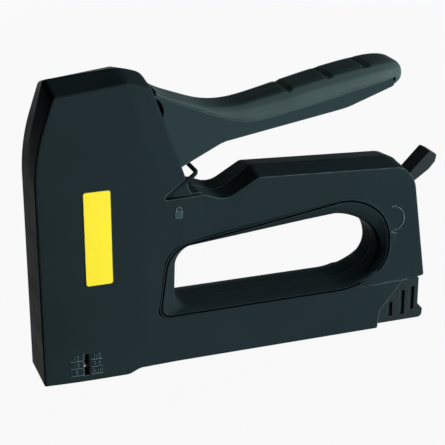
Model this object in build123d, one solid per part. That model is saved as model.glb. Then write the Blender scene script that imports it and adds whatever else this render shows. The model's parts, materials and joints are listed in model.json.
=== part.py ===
from build123d import *
import math
import os

# Hand staple gun with two cast half shells, a squeeze handle and a pull-out magazine.
# X runs back from the driver's centre line, Y across from the parting plane, Z up from the nose foot.
# All lengths are millimetres and all angles degrees.

# Fits
SLIDE_GAP = 0.3           # play between sliding pieces
RUNNING_GAP = 0.05        # radial play of a turning piece on its pin
PART_GAP = 0.4            # open line between two outer pieces

# Staple and drive line
STAPLE_CROWN = 10.6
BLADE_THICK = 1.3
BLADE_GAP = 0.25
BLADE_PLAY = 0.1          # how much narrower the blade is than the staple on each side
BLADE_TIP_Z = 0.3
BLADE_TOP_Z = 50.0
NOSE_PLATE_THICK = 1.5
NOSE_PLATE_HALF = 8.0
NOSE_PLATE_TOP = 46.0
FRONT_WALL = 3.3

# Half widths of the body
NOSE_HALF = 13.0
COLUMN_HALF = 14.25
RAIL_HALF = 13.6
GRIP_HALF = 12.5
HEEL_HALF = 12.6

# Side outline of the body, as corner places and corner radii
FRONT_BEND_Z = 106.0
TOP_FRONT = (3.7, 131.6)
TOP_CREST = (35.6, 135.1)
TOP_REAR = (45.9, 131.9)
LEDGE_Z = 81.6
LEDGE_FRONT_X = 63.8
LEDGE_REAR_X = 67.6
DIP_LOW = (79.5, 77.0)
GRIP_FRONT = (94.7, 85.5)
GRIP_REAR = (166.6, 81.7)
SHOULDER = (172.4, 75.0)
HEEL = (179.5, 26.0)
CAP_NOTCH = (168.0, 24.6)
CAP_KNEE = (156.6, 11.2)
RAIL_END_X = 155.6
RAIL_BOTTOM_Z = 2.3
RAIL_TOP_Z = 25.2
FOOT_END_X = 33.0
FOOT_RAMP = 5.0
FRONT_RADII = (0, 85, 2.5)
CREST_RADII = (3, 20)       # at the side and at the parting plane
TOP_REAR_RADII = (2, 8)     # at the side and at the parting plane
REAR_RADII = (0, 3, 10, 4, 10, 14, 1, 2, 4, 0.8, 6, 6)
COLUMN_CROWN = 3.4        # rise of the column's top at the parting plane
FRONT_CROWN = 4.6         # rise of the column's top front corner there
FRONT_SWELL = 1.2         # how far that corner stands forward there
GRIP_CROWN = 2.2          # rise of the grip's top at the parting plane
EDGE_RADIUS = 0.9         # rounding of the column's outer edges

# Plan taper of the column towards the nose
CHEEK_END_X = 22.0
PLAN_OVER = 1.0           # how far the plan prism runs past the body
CREASE_TOP_X = 36.0
CREASE_FOOT_X = 41.0
RAIL_START_X = 55.0
CREASE_LEAN = 0.212       # how far the crease runs back for each millimetre down
CREASE_SLOPE = 0.085      # how fast the side falls in behind the crease

# Hand opening: six corners of its clear hole and of the rim on the side face
HOLE_CLEAR = ((55.9, 26.4), (56.9, 56.2), (145.3, 62.9), (157.7, 46.0), (154.8, 32.5), (141.0, 26.4))
HOLE_RIM = ((48.4, 25.7), (52.8, 57.2), (148.0, 70.0), (163.2, 49.0), (157.6, 34.0), (146.0, 25.6))
HOLE_CLEAR_RADII = (5.0, 9.0, 13.0, 9.0, 8.0, 8.0)
HOLE_RIM_RADII = (3.0, 10.0, 14.0, 9.0, 8.0, 8.0)
RIM_INNER_Y = 8.5         # half width where the rim's bevel ends
RIM_OUTER_Y = 12.8        # half width where the rim's outline is given

# Handle
PIVOT = (45.0, 119.5)
PIVOT_PIN_RADIUS = 3.0
PIVOT_PIN_HALF = 12.0
HANDLE_STROKE = 15.0
HUB_RADIUS = 7.2
HUB_HALF = 5.0
WEB_HALF = 9.0
WEB_WALL = 2.3
FINGER_HALF = 3.0
FINGER_TIP = (9.2, 109.0)
FINGER_TIP_RADIUS = 2.4
FINGER_NECK = 1.0
FINGER_ROOT = 4.2
RETURN_WIRE = 1.2
SEAM_FRONT = (50.0, 126.4)
SEAM_LOW = (90.0, 109.3)
SEAM_REAR = (161.0, 124.8)
SEAM_RADIUS = 40.0
BAR_LOW_REAR = (161.0, 120.3)
BAR_LOW_BEND = (138.0, 112.3)
BAR_LOW_FRONT = (79.5, 102.9)
WEB_LOW = (58.0, 92.5)
WEB_HEEL = (51.5, 93.5)
LEVER_RADII = (0, 0, 1.5, 30, 16, 2, 3, 2)
LEVER_HOLLOW = (24.0, 14.0)
LEVER_RIBS = (88.0, 108.0, 128.0)

# Palm pad: place along the handle, lower and upper height, half width and corner radius
PALM_STATIONS = (
    (49.0, 123.5, 129.2, 8.9, 2.3),
    (60.0, 118.6, 123.9, 9.0, 2.5),
    (72.0, 113.2, 119.8, 9.3, 3.1),
    (84.0, 109.2, 118.8, 10.0, 4.4),
    (97.0, 107.6, 121.1, 10.9, 6.2),
    (112.0, 109.6, 124.5, 11.9, 7.1),
    (130.0, 113.2, 128.3, 12.5, 7.3),
    (148.0, 117.3, 131.2, 12.5, 6.8),
    (157.4, 119.1, 131.9, 11.8, 6.2),
    (162.6, 120.1, 131.0, 9.6, 5.0),
    (165.7, 121.5, 128.5, 6.2, 3.2),
    (166.8, 123.0, 126.4, 3.2, 1.5),
)
PALM_FLATS = 3
GROOVE_PLACES = ((110.0, 124.1), (129.0, 128.1), (147.0, 131.1))
GROOVE_RADIUS = 1.5
GROOVE_DEPTH = 1.7
GROOVE_HALF = 9.0

# Hammer
HAMMER_HALF = 7.0
HAMMER_THICK = 8.6
HAMMER_BOTTOM_Z = 34.0
HAMMER_TOP_Z = 84.0
STIRRUP_FRONT_X = 7.0
STIRRUP_THICK = 4.4
STIRRUP_HALF = 6.4
BRIDGE_HEIGHT = 3.6
BUMPER_HEIGHT = 4.0
RIVET_RADIUS = 1.6
RIVET_DROP = 4.0
RIVET_PITCH = 7.0

# Power spring leaves and their fulcrum
LEAF_HALF = 5.0
LEAF_TONGUE_HALF = 4.0
LEAF_TONGUE_END_X = 18.0
LEAF_FRONT_X = 3.4
LEAF_REAR_X = 162.0
LEAF_BOTTOM_Z = 69.6
LEAF_THICK = 1.6
HELPER_THICK = 1.4
HELPER_FRONT_X = 62.0
HELPER_REAR_X = 138.0
FULCRUM_X = 102.0
FULCRUM_RADIUS = 2.2
FULCRUM_HALF = 10.0

# Power lever
POWER_PIVOT_X = 161.5
POWER_PIN_RADIUS = 2.0
POWER_PIN_HALF = 9.5
POWER_HALF = 5.0
POWER_HUB_RADIUS = 5.0
POWER_NECK = 3.2
POWER_LOBE_RADIUS = 2.0
POWER_LOBE_REACH = 4.4
LEAF_REST_GAP = 0.1
POWER_SWING = 50.0
POWER_TAB = ((170.6, 73.0), (182.9, 85.4), (186.9, 83.5), (186.1, 79.9), (183.1, 76.5), (173.6, 70.0))
POWER_TAB_RADII = (0.0, 1.2, 1.6, 1.2, 1.5, 0.0)

# Handle latch bail
BAIL_PIVOT = (52.9, 82.4)
BAIL_WIRE_RADIUS = 1.0
BAIL_LENGTH = 16.1
BAIL_REST_ANGLE = 33.5
BAIL_ARM_Y = 11.6
BAIL_BEND = 2.2
BAIL_HEEL = 1.0
BAIL_TOE_RADIUS = 0.9
BAIL_TOE_Y = 7.6
BAIL_FLOOR_GAP = 0.5
BAIL_SIDE_GAP = 0.1

# Magazine
CHANNEL_WALL = 1.0
CHANNEL_ROOF_Z = 16.2
CHANNEL_END_X = 150.0
CORE_HALF = 3.9
CORE_WALL = 0.8
CORE_BOTTOM_Z = 2.6
CORE_TOP_Z = 10.0
CORE_FRONT_X = 1.6
CORE_TENON = 8.0
ROD_RADIUS = 1.2
ROD_Z = 6.2
PUSHER_LENGTH = 16.0
PUSHER_FRONT_X = 3.2
PUSHER_TONGUE = 7.0
PUSHER_HALF = 5.2
PUSHER_TOP_Z = 13.6
PUSHER_CHEEK_Z = 4.2
PUSHER_SPRING_RADIUS = 2.5
PUSHER_SPRING_WIRE = 0.7
CAP_HALF = 12.2
CAP_LIP = (179.9, 8.2)
CAP_LIP_RISE = 3.0
CAP_RADII = (0.8, 4, 1.5, 0.6, 1.5, 1.5, 2)
CAP_ROD_WALL = 4.0
CAP_REAR_X = 177.2
CAP_BOTTOM_Z = 3.9
CAP_SLOTS = ((162.5, 6.6, 14.2), (168.8, 6.6, 19.4), (173.8, 8.6, 20.6))
CAP_SLOT_WIDTH = 2.6
CAP_SLOT_DEPTH = 1.2
CATCH_THICK = 0.6
CATCH_HALF = 3.6
CATCH_FRONT_X = 122.0
CATCH_LENGTH = 24.0
CATCH_GAP = 0.1

# Rooms inside the shells
LEAN_START = 6.0          # how far above the front bend the hammer bay starts to lean
LEAN_WALL = 1.4
LIFT_ROOM = 2.6
STIRRUP_ROOT = 6.0
WEB_FLOOR = 6.0           # floor of the handle's bay over the ledge
GUIDE_WALL = 2.6          # bar behind the hammer that guides it
LEAF_ROOM = 0.8
LEAF_BAY_DEPTH = 29.6
HOLE_WALL = 4.4           # metal left over the hand opening
DIP_WALL = 1.6
GRIP_ROOF_WALL = 7.5
POWER_ROOM = 3.0
POWER_TAB_ROOM = 6.0
SIDE_WALL = 2.4
RAIL_POCKETS = ((44.0, 66.0), (68.5, 92.0), (108.0, 131.0), (133.5, 152.0))
RAIL_POCKET_Z = (4.8, 23.6)
COLUMN_POCKETS = ((37.0, 60.0), (62.5, 86.0), (88.5, 112.0))
COLUMN_POCKET_X = (16.5, 38.0)
GRIP_POCKETS = (
    (66.0, 92.0, 63.5, 73.6),
    (107.0, 119.5, 66.5, 80.0),
    (132.5, 151.5, 68.5, 79.0),
    (164.0, 174.0, 28.5, 38.5),
)

# Staple window in the left cheek
WINDOW_X = 13.2
WINDOW_WIDTH = 2.3
WINDOW_LOW_Z = 2.8
WINDOW_HIGH_Z = 13.6

# Housing screws, driven from the right side
SCREW_PLACES = ((27.0, 130.8), (28.0, 47.0), (126.0, 79.8), (168.6, 44.0), (100.0, 21.0))
SCREW_RADIUS = 1.5
SCREW_HEAD_RADIUS = 2.5
SCREW_HEAD_HEIGHT = 2.0
SCREW_HEAD_Y = 9.6
SCREW_TIP_Y = -7.0
BOSS_RADIUS = 4.0

# Places that follow from the sizes above
slot_front = -(BLADE_THICK / 2 + BLADE_GAP)
slot_back = -slot_front
plate_front = slot_front - NOSE_PLATE_THICK
front_x = plate_front - FRONT_WALL
hammer_front = BLADE_THICK / 2
hammer_back = hammer_front + HAMMER_THICK
hammer_bay_half = HAMMER_HALF + SLIDE_GAP
bumper_seat = HAMMER_BOTTOM_Z - BUMPER_HEIGHT
channel_in_half = STAPLE_CROWN / 2 + SLIDE_GAP
channel_out_half = channel_in_half + CHANNEL_WALL
channel_top = CHANNEL_ROOF_Z + CHANNEL_WALL
leaf_top = LEAF_BOTTOM_Z + LEAF_THICK
helper_top = leaf_top + HELPER_THICK
fulcrum_z = helper_top + FULCRUM_RADIUS
power_pivot = (POWER_PIVOT_X, LEAF_BOTTOM_Z - LEAF_REST_GAP - POWER_HUB_RADIUS)
finger_bridge_z = FINGER_TIP[1] + FINGER_TIP_RADIUS + SLIDE_GAP
grip_roof = GRIP_FRONT[1] - GRIP_ROOF_WALL
web_bay_half = WEB_HALF + PART_GAP
leaf_bay_half = LEAF_HALF + LEAF_ROOM
core_in_half = CORE_HALF - CORE_WALL
cap_face = RAIL_END_X + 1.5 * PART_GAP
core_end = cap_face + CORE_TENON
rod_end = CAP_REAR_X - CAP_ROD_WALL
tongue_rear = PUSHER_FRONT_X + PUSHER_TONGUE
lift = (PIVOT[0] - FINGER_TIP[0]) * math.sin(math.radians(HANDLE_STROKE)) + (
    PIVOT[1] - FINGER_TIP[1]
) * (1 - math.cos(math.radians(HANDLE_STROKE)))


def outline(places, radii):
    """Closed flat face in the side view from its corners and their radii."""
    return make_face(FilletPolyline(*places, radius=list(radii), close=True))


def polygon(*places):
    """Closed flat face in the side view with sharp corners."""
    return make_face(Polyline(*places, close=True))


def across(face, near, far):
    """Prism of a side-view face from Y near to Y far."""
    return extrude(Plane.XZ.offset(-far) * face, far - near)


def slab(x, y, z):
    """Box between two places on each axis."""
    size = [b - a for a, b in (x, y, z)]
    return Pos(x[0], y[0], z[0]) * Box(*size, align=(Align.MIN,) * 3)


def bar_y(place, radius, near, far):
    """Round bar along Y at a place in the side view."""
    base = Plane((place[0], near, place[1]), x_dir=(1, 0, 0), z_dir=(0, 1, 0))
    return base * Cylinder(radius, far - near, align=(Align.CENTER, Align.CENTER, Align.MIN))


def bar_x(y, z, radius, start, end):
    """Round bar along X."""
    base = Plane((start, y, z), x_dir=(0, 1, 0), z_dir=(1, 0, 0))
    return base * Cylinder(radius, end - start, align=(Align.CENTER, Align.CENTER, Align.MIN))


def body_corners(crown):
    """Corners of the body's side outline; crown is 1 at the parting plane and 0 at the side."""
    top = crown * COLUMN_CROWN
    grip = crown * GRIP_CROWN
    return [
        (front_x, 0),
        (front_x, FRONT_BEND_Z),
        (TOP_FRONT[0] - crown * FRONT_SWELL, TOP_FRONT[1] + crown * FRONT_CROWN),
        (TOP_CREST[0], TOP_CREST[1] + top),
        (TOP_REAR[0], TOP_REAR[1] + top),
        (LEDGE_FRONT_X, LEDGE_Z),
        (LEDGE_REAR_X, LEDGE_Z),
        DIP_LOW,
        (GRIP_FRONT[0], GRIP_FRONT[1] + grip),
        (GRIP_REAR[0], GRIP_REAR[1] + grip),
        SHOULDER,
        HEEL,
        CAP_NOTCH,
        CAP_KNEE,
        (RAIL_END_X, RAIL_BOTTOM_Z),
        (FOOT_END_X + FOOT_RAMP, RAIL_BOTTOM_Z),
        (FOOT_END_X, 0),
    ]


def body_radii(crown):
    """Corner radii of the body's side outline, for the same crown."""
    return [*FRONT_RADII, CREST_RADII[crown], TOP_REAR_RADII[crown], *REAR_RADII]


def plan_prism():
    """Upright prism of the body's plan: narrow flat nose, swelling cheeks, then the slimmer rail."""
    nose = Polyline((front_x, 0), (front_x, -NOSE_HALF))
    cheek = TangentArc((CHEEK_END_X, -COLUMN_HALF), (front_x, -NOSE_HALF), tangent=(-1, 0))
    rear = Polyline(
        (CHEEK_END_X, -COLUMN_HALF),
        (CREASE_FOOT_X, -COLUMN_HALF),
        (RAIL_START_X, -RAIL_HALF),
        (RAIL_END_X, -RAIL_HALF),
        (HEEL[0] + PLAN_OVER, -HEEL_HALF),
        (HEEL[0] + PLAN_OVER, 0),
        (front_x, 0),
    )
    face = make_face([*nose.edges(), *cheek.edges(), *rear.edges()])
    return extrude(Pos(0, 0, -PLAN_OVER) * face, TOP_CREST[1] + COLUMN_CROWN + 2 * PLAN_OVER)


def side_relief():
    """What the side loses behind the column's slanting crease, down to the ledge over the rail."""
    lean = math.hypot(1, CREASE_LEAN)
    high_x = CREASE_TOP_X - CREASE_LEAN * COLUMN_CROWN * 3
    start = Plane(
        (high_x, -COLUMN_HALF, TOP_CREST[1] + COLUMN_CROWN * 3),
        x_dir=(1 / lean, 0, CREASE_LEAN / lean),
        z_dir=(CREASE_LEAN / lean, 0, -1 / lean),
    )
    reach = HEEL[0]
    wedge = make_face(
        Polyline((0, 0), (reach, -reach * CREASE_SLOPE), (reach, COLUMN_HALF), (0, COLUMN_HALF), close=True)
    )
    grip_side = slab((0, 2 * reach), (-2 * COLUMN_HALF, -GRIP_HALF), (RAIL_TOP_Z, 2 * TOP_CREST[1]))
    return extrude(start * wedge, 2 * TOP_CREST[1]) & grip_side


def hand_hole():
    """Clear hole for the fingers and the bevelled rim round it on the left side."""
    outer_y = COLUMN_HALF + 0.5
    reach = (outer_y - RIM_INNER_Y) / (RIM_OUTER_Y - RIM_INNER_Y)
    far_rim = [
        (c[0] + (r[0] - c[0]) * reach, c[1] + (r[1] - c[1]) * reach) for c, r in zip(HOLE_CLEAR, HOLE_RIM)
    ]
    far_radii = [c + (r - c) * reach for c, r in zip(HOLE_CLEAR_RADII, HOLE_RIM_RADII)]
    clear = outline(HOLE_CLEAR, HOLE_CLEAR_RADII)
    bevel = loft(
        [
            Plane.XZ.offset(RIM_INNER_Y) * clear,
            Plane.XZ.offset(outer_y) * outline(far_rim, far_radii),
        ],
        ruled=True,
    )
    return [across(clear, -COLUMN_HALF, 1), bevel]


def bail_recess():
    """Shallow pocket in the side that the latch's arm swings in, open towards the handle."""
    turn = math.radians(BAIL_REST_ANGLE)
    along = (math.cos(turn), math.sin(turn))
    margin = BAIL_WIRE_RADIUS + PART_GAP
    high_x = BAIL_PIVOT[0] - along[1] * margin
    high_z = BAIL_PIVOT[1] + along[0] * margin
    reach = BAIL_LENGTH * 2
    floor = BAIL_PIVOT[1] - BAIL_WIRE_RADIUS - BAIL_FLOOR_GAP
    face = outline(
        [
            (high_x - along[0] * margin, high_z - along[1] * margin),
            (high_x + along[0] * reach, high_z + along[1] * reach),
            (high_x + along[0] * reach, floor),
            (BAIL_PIVOT[0] - margin - PART_GAP, floor),
        ],
        [BAIL_WIRE_RADIUS, 0, 0, BAIL_WIRE_RADIUS / 2],
    )
    return across(face, -2 * COLUMN_HALF, -(BAIL_ARM_Y - BAIL_WIRE_RADIUS - BAIL_SIDE_GAP))


def half_outside():
    """Outside of the left half: crowned top, tapered cheeks, ledge over the rail and bevelled hand hole."""
    middle = Plane.XZ * outline(body_corners(1), body_radii(1))
    side = Plane.XZ.offset(COLUMN_HALF) * outline(body_corners(0), body_radii(0))
    body = loft([middle, side], ruled=True) & plan_prism()
    body = body - side_relief()
    column_crest = (TOP_CREST[0], -COLUMN_HALF, TOP_CREST[1])
    body = fillet(body.edges().sort_by_distance(column_crest)[0], EDGE_RADIUS)
    for cut in hand_hole():
        body = body - cut
    return body - bail_recess()


def half_hollow():
    """Room inside the two halves for the drive line, the handle, the springs and the magazine."""
    hammer_room = hammer_back + SLIDE_GAP
    stirrup_rear = STIRRUP_FRONT_X + STIRRUP_THICK + SLIDE_GAP
    neck_z = HAMMER_TOP_Z - STIRRUP_ROOT
    lift_top = finger_bridge_z + BRIDGE_HEIGHT + lift + LIFT_ROOM
    hammer_bay = polygon(
        (slot_front, bumper_seat),
        (slot_front, FRONT_BEND_Z + LEAN_START),
        (TOP_FRONT[0] + LEAN_WALL, lift_top),
        (stirrup_rear, lift_top),
        (stirrup_rear, neck_z),
        (hammer_room, neck_z),
        (hammer_room, bumper_seat),
    )
    bay_front = stirrup_rear - STIRRUP_THICK / 2
    bay_floor = HAMMER_TOP_Z - STIRRUP_ROOT / 2
    bay_rear = LEDGE_FRONT_X + HUB_RADIUS
    roof = PIVOT[1] + HUB_RADIUS
    mouth_roof = TOP_REAR[1] - FRONT_WALL
    handle_bay = polygon(
        (bay_front, bay_floor),
        (bay_front, roof),
        (PIVOT[0] - HUB_RADIUS, roof),
        (PIVOT[0] - HUB_RADIUS / 2, mouth_roof),
        (bay_rear, mouth_roof),
        (bay_rear, LEDGE_Z + WEB_FLOOR),
        (PIVOT[0], LEDGE_Z + WEB_FLOOR),
        (PIVOT[0] - HUB_RADIUS, bay_floor),
    )
    guide_rear = hammer_room + GUIDE_WALL
    lower_rear = PIVOT[0] - HUB_HALF
    lower_bay = slab((guide_rear, lower_rear), (-web_bay_half, web_bay_half), (HAMMER_BOTTOM_Z, HAMMER_TOP_Z))
    tongue_half = LEAF_TONGUE_HALF + LEAF_ROOM
    tongue_slot = slab(
        (hammer_back, guide_rear + SLIDE_GAP),
        (-tongue_half, tongue_half),
        (LEAF_BOTTOM_Z - LEAF_BAY_DEPTH, HAMMER_TOP_Z),
    )
    leaf_front = lower_rear - SLIDE_GAP
    leaf_bay = polygon(
        (leaf_front, HOLE_CLEAR[1][1] + HOLE_WALL),
        (leaf_front, HAMMER_TOP_Z),
        (LEDGE_FRONT_X, LEDGE_Z - 2 * FRONT_WALL),
        (DIP_LOW[0], DIP_LOW[1] - DIP_WALL),
        (GRIP_FRONT[0], grip_roof),
        (power_pivot[0] - POWER_HUB_RADIUS, grip_roof),
        (power_pivot[0] - POWER_HUB_RADIUS, HOLE_CLEAR[2][1] + HOLE_WALL),
        (HOLE_CLEAR[2][0], HOLE_CLEAR[2][1] + HOLE_WALL),
        (HOLE_CLEAR[1][0], HOLE_CLEAR[1][1] + HOLE_WALL),
    )
    lever_room = POWER_HUB_RADIUS + POWER_ROOM
    mouth_high = GRIP_REAR[1] + COLUMN_HALF
    mouth_rear = HEEL[0] + COLUMN_HALF
    mouth_low = power_pivot[1] - POWER_HUB_RADIUS - POWER_TAB_ROOM
    power_bay = outline(
        [
            (power_pivot[0] - lever_room, power_pivot[1] - lever_room),
            (power_pivot[0] - lever_room, grip_roof),
            (GRIP_REAR[0], GRIP_REAR[1] - GRIP_CROWN),
            (SHOULDER[0] - FRONT_WALL, mouth_high),
            (mouth_rear, mouth_high),
            (mouth_rear, mouth_low),
            (GRIP_REAR[0], mouth_low),
        ],
        [POWER_ROOM, 0, 0, 0, 0, 0, POWER_ROOM],
    )
    nose_slot = slab((slot_front, slot_back), (-channel_in_half, channel_in_half), (-1, bumper_seat))
    plate_pocket = slab((plate_front, slot_front), (-NOSE_PLATE_HALF, NOSE_PLATE_HALF), (-1, NOSE_PLATE_TOP))
    magazine_bay = slab((0, HEEL[0]), (-channel_out_half, channel_out_half), (-1, channel_top))
    return [
        across(hammer_bay, -hammer_bay_half, hammer_bay_half),
        across(handle_bay, -web_bay_half, web_bay_half),
        lower_bay,
        tongue_slot,
        across(leaf_bay, -leaf_bay_half, leaf_bay_half),
        across(power_bay, -POWER_HALF - SLIDE_GAP, POWER_HALF + SLIDE_GAP),
        nose_slot,
        plate_pocket,
        magazine_bay,
        bar_y(PIVOT, PIVOT_PIN_RADIUS, -PIVOT_PIN_HALF, PIVOT_PIN_HALF),
        bar_y((FULCRUM_X, fulcrum_z), FULCRUM_RADIUS, -FULCRUM_HALF, FULCRUM_HALF),
        bar_y(power_pivot, POWER_PIN_RADIUS, -POWER_PIN_HALF, POWER_PIN_HALF),
    ]


def wall_pockets():
    """Pockets between the ribs that leave an even wall in the rail, column, grip and rear post."""
    rail_half = RAIL_HALF - SIDE_WALL
    column_half = COLUMN_HALF - SIDE_WALL
    grip_half = GRIP_HALF - SIDE_WALL
    cuts = []
    for start, end in RAIL_POCKETS:
        cuts.append(slab((start, end), (-rail_half, rail_half), RAIL_POCKET_Z))
    for low, high in COLUMN_POCKETS:
        cuts.append(slab(COLUMN_POCKET_X, (-column_half, column_half), (low, high)))
    for start, end, low, high in GRIP_POCKETS:
        cuts.append(slab((start, end), (-grip_half, grip_half), (low, high)))
    return cuts


def screw_boss():
    """Post round the screw that crosses the open bay behind the hammer."""
    return bar_y(SCREW_PLACES[1], BOSS_RADIUS, -COLUMN_HALF + SIDE_WALL / 2, 0)


def shells():
    """Left and right half shells, with the screws' holes and the staple window."""
    half = half_outside()
    for cut in half_hollow() + wall_pockets():
        half = half - cut
    half = half + screw_boss()
    half = half - bar_y(BAIL_PIVOT, BAIL_TOE_RADIUS + RUNNING_GAP, -2 * COLUMN_HALF, -BAIL_TOE_Y)
    right = mirror(half, about=Plane.XZ)
    left = half
    for place in SCREW_PLACES:
        left = left - bar_y(place, SCREW_RADIUS, SCREW_TIP_Y, 1)
        right = right - bar_y(place, SCREW_RADIUS, -1, SCREW_HEAD_Y)
        right = right - bar_y(place, SCREW_HEAD_RADIUS + PART_GAP, SCREW_HEAD_Y, 2 * COLUMN_HALF)
    return left - window_cut(), right


def window_cut():
    """Upright slot in the left cheek that shows how many staples are left."""
    return slab(
        (WINDOW_X - WINDOW_WIDTH / 2, WINDOW_X + WINDOW_WIDTH / 2),
        (-2 * COLUMN_HALF, -channel_in_half),
        (WINDOW_LOW_Z, WINDOW_HIGH_Z),
    )


def screws():
    """Pan-head housing screws as a group."""
    group = []
    for place in SCREW_PLACES:
        shank = bar_y(place, SCREW_RADIUS, SCREW_TIP_Y, SCREW_HEAD_Y)
        head = bar_y(place, SCREW_HEAD_RADIUS, SCREW_HEAD_Y, SCREW_HEAD_Y + SCREW_HEAD_HEIGHT)
        group.append(shank + head)
    return Compound(children=group)


def nose_plate():
    """Hard plate in front of the drive slot."""
    return slab((plate_front, slot_front), (-NOSE_PLATE_HALF, NOSE_PLATE_HALF), (0, NOSE_PLATE_TOP))


def staple_channel():
    """Folded steel channel, open below, that the staple strip runs in."""
    across_y = (-channel_out_half, channel_out_half)
    outer = slab((slot_back, CHANNEL_END_X), across_y, (RAIL_BOTTOM_Z, channel_top))
    inner = slab((0, CHANNEL_END_X + 1), (-channel_in_half, channel_in_half), (0, CHANNEL_ROOF_Z))
    return outer - inner - window_cut()


def hammer():
    """Sliding hammer: a block behind the blade and a stirrup over the handle's finger."""
    block = slab((hammer_front, hammer_back), (-HAMMER_HALF, HAMMER_HALF), (HAMMER_BOTTOM_Z, HAMMER_TOP_Z))
    stirrup_rear = STIRRUP_FRONT_X + STIRRUP_THICK
    stirrup = slab(
        (STIRRUP_FRONT_X, stirrup_rear),
        (-STIRRUP_HALF, STIRRUP_HALF),
        (HAMMER_TOP_Z - BRIDGE_HEIGHT, finger_bridge_z + BRIDGE_HEIGHT),
    )
    finger_room = slab(
        (STIRRUP_FRONT_X - 1, stirrup_rear + 1),
        (-FINGER_HALF - SLIDE_GAP, FINGER_HALF + SLIDE_GAP),
        (HAMMER_TOP_Z + BRIDGE_HEIGHT, finger_bridge_z),
    )
    leaf_window = slab(
        (LEAF_FRONT_X - 2 * SLIDE_GAP, hammer_back + 1),
        (-LEAF_TONGUE_HALF - SLIDE_GAP, LEAF_TONGUE_HALF + SLIDE_GAP),
        (LEAF_BOTTOM_Z - LEAF_REST_GAP, leaf_top + LEAF_ROOM),
    )
    return block + stirrup - finger_room - leaf_window - [rivet_bar(z) for z in rivet_heights()]


def rivet_heights():
    """Heights of the two rivets that hold the blade."""
    return (BLADE_TOP_Z - RIVET_DROP, BLADE_TOP_Z - RIVET_DROP - RIVET_PITCH)


def rivet_bar(z):
    """Rivet along X through the blade and the hammer."""
    return bar_x(0, z, RIVET_RADIUS, -BLADE_THICK / 2, hammer_back)


def driver_blade():
    """Hard flat blade that drives the staple."""
    half = STAPLE_CROWN / 2 - BLADE_PLAY
    blade = slab((-BLADE_THICK / 2, hammer_front), (-half, half), (BLADE_TIP_Z, BLADE_TOP_Z))
    return blade - [rivet_bar(z) for z in rivet_heights()]


def hammer_bumper():
    """Rubber pad that the hammer lands on."""
    return slab((slot_back, hammer_back), (-HAMMER_HALF, HAMMER_HALF), (bumper_seat, HAMMER_BOTTOM_Z))


def power_leaf():
    """Main power spring leaf with a narrow tongue in the hammer."""
    wide = slab((LEAF_TONGUE_END_X, LEAF_REAR_X), (-LEAF_HALF, LEAF_HALF), (LEAF_BOTTOM_Z, leaf_top))
    tongue = slab(
        (LEAF_FRONT_X, LEAF_TONGUE_END_X), (-LEAF_TONGUE_HALF, LEAF_TONGUE_HALF), (LEAF_BOTTOM_Z, leaf_top)
    )
    return wide + tongue


def helper_leaf():
    """Short second leaf under the fulcrum."""
    return slab((HELPER_FRONT_X, HELPER_REAR_X), (-LEAF_HALF, LEAF_HALF), (leaf_top, helper_top))


def seam_face(low):
    """Area below the line where the palm pad sits on the lever, ending at the lever's tail."""
    slope = (SEAM_FRONT[1] - SEAM_LOW[1]) / (SEAM_LOW[0] - SEAM_FRONT[0])
    start_x = SEAM_FRONT[0] - PIVOT[0]
    start_z = SEAM_FRONT[1] + slope * PIVOT[0]
    return outline(
        [(start_x, start_z), SEAM_LOW, SEAM_REAR, (SEAM_REAR[0], low), (start_x, low)],
        [0.0, SEAM_RADIUS, 0.0, 0.0, 0.0],
    )


def handle_lever():
    """Cast handle lever: hub, lifting finger, web and hollow bar."""
    side = outline(
        [
            (PIVOT[0], SEAM_FRONT[1] + HUB_HALF),
            (SEAM_REAR[0], SEAM_REAR[1] + HUB_HALF),
            BAR_LOW_REAR,
            BAR_LOW_BEND,
            BAR_LOW_FRONT,
            WEB_LOW,
            WEB_HEEL,
            (PIVOT[0], PIVOT[1] - HUB_RADIUS),
        ],
        LEVER_RADII,
    )
    web = across(side, -WEB_HALF, WEB_HALF) & across(seam_face(0), -WEB_HALF, WEB_HALF)
    hollow_half = WEB_HALF - WEB_WALL
    hollow = across(seam_face(0), -hollow_half, hollow_half)
    hollow = Pos(0, 0, -WEB_WALL) * hollow & slab(
        (PIVOT[0] + LEVER_HOLLOW[0], SEAM_REAR[0] - LEVER_HOLLOW[1]), (-WEB_HALF, WEB_HALF), (0, PIVOT[1])
    )
    ribs = [slab((x, x + WEB_WALL), (-WEB_HALF, WEB_HALF), (0, PIVOT[1])) for x in LEVER_RIBS]
    web = web - (hollow - ribs)
    clear = HUB_RADIUS + SLIDE_GAP
    web = web - bar_y(PIVOT, clear, -WEB_HALF - 1, -HUB_HALF) - bar_y(PIVOT, clear, HUB_HALF, WEB_HALF + 1)
    hub = bar_y(PIVOT, HUB_RADIUS, -HUB_HALF, HUB_HALF)
    finger = finger_bar()
    bore = bar_y(PIVOT, PIVOT_PIN_RADIUS + RUNNING_GAP, -WEB_HALF - 1, WEB_HALF + 1)
    return web + hub + finger - bore


def finger_bar():
    """Tapered finger from the hub to its rounded tip under the hammer's bridge."""
    run = (FINGER_TIP[0] - PIVOT[0], FINGER_TIP[1] - PIVOT[1])
    length = math.hypot(*run)
    side = (-run[1] / length, run[0] / length)
    ends = (
        (PIVOT, FINGER_ROOT),
        (FINGER_TIP, FINGER_NECK),
        (FINGER_TIP, -FINGER_NECK),
        (PIVOT, -FINGER_ROOT),
    )
    face = polygon(*[(place[0] + side[0] * half, place[1] + side[1] * half) for place, half in ends])
    arm = across(face, -FINGER_HALF, FINGER_HALF)
    return arm + bar_y(FINGER_TIP, FINGER_TIP_RADIUS, -FINGER_HALF, FINGER_HALF)


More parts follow.
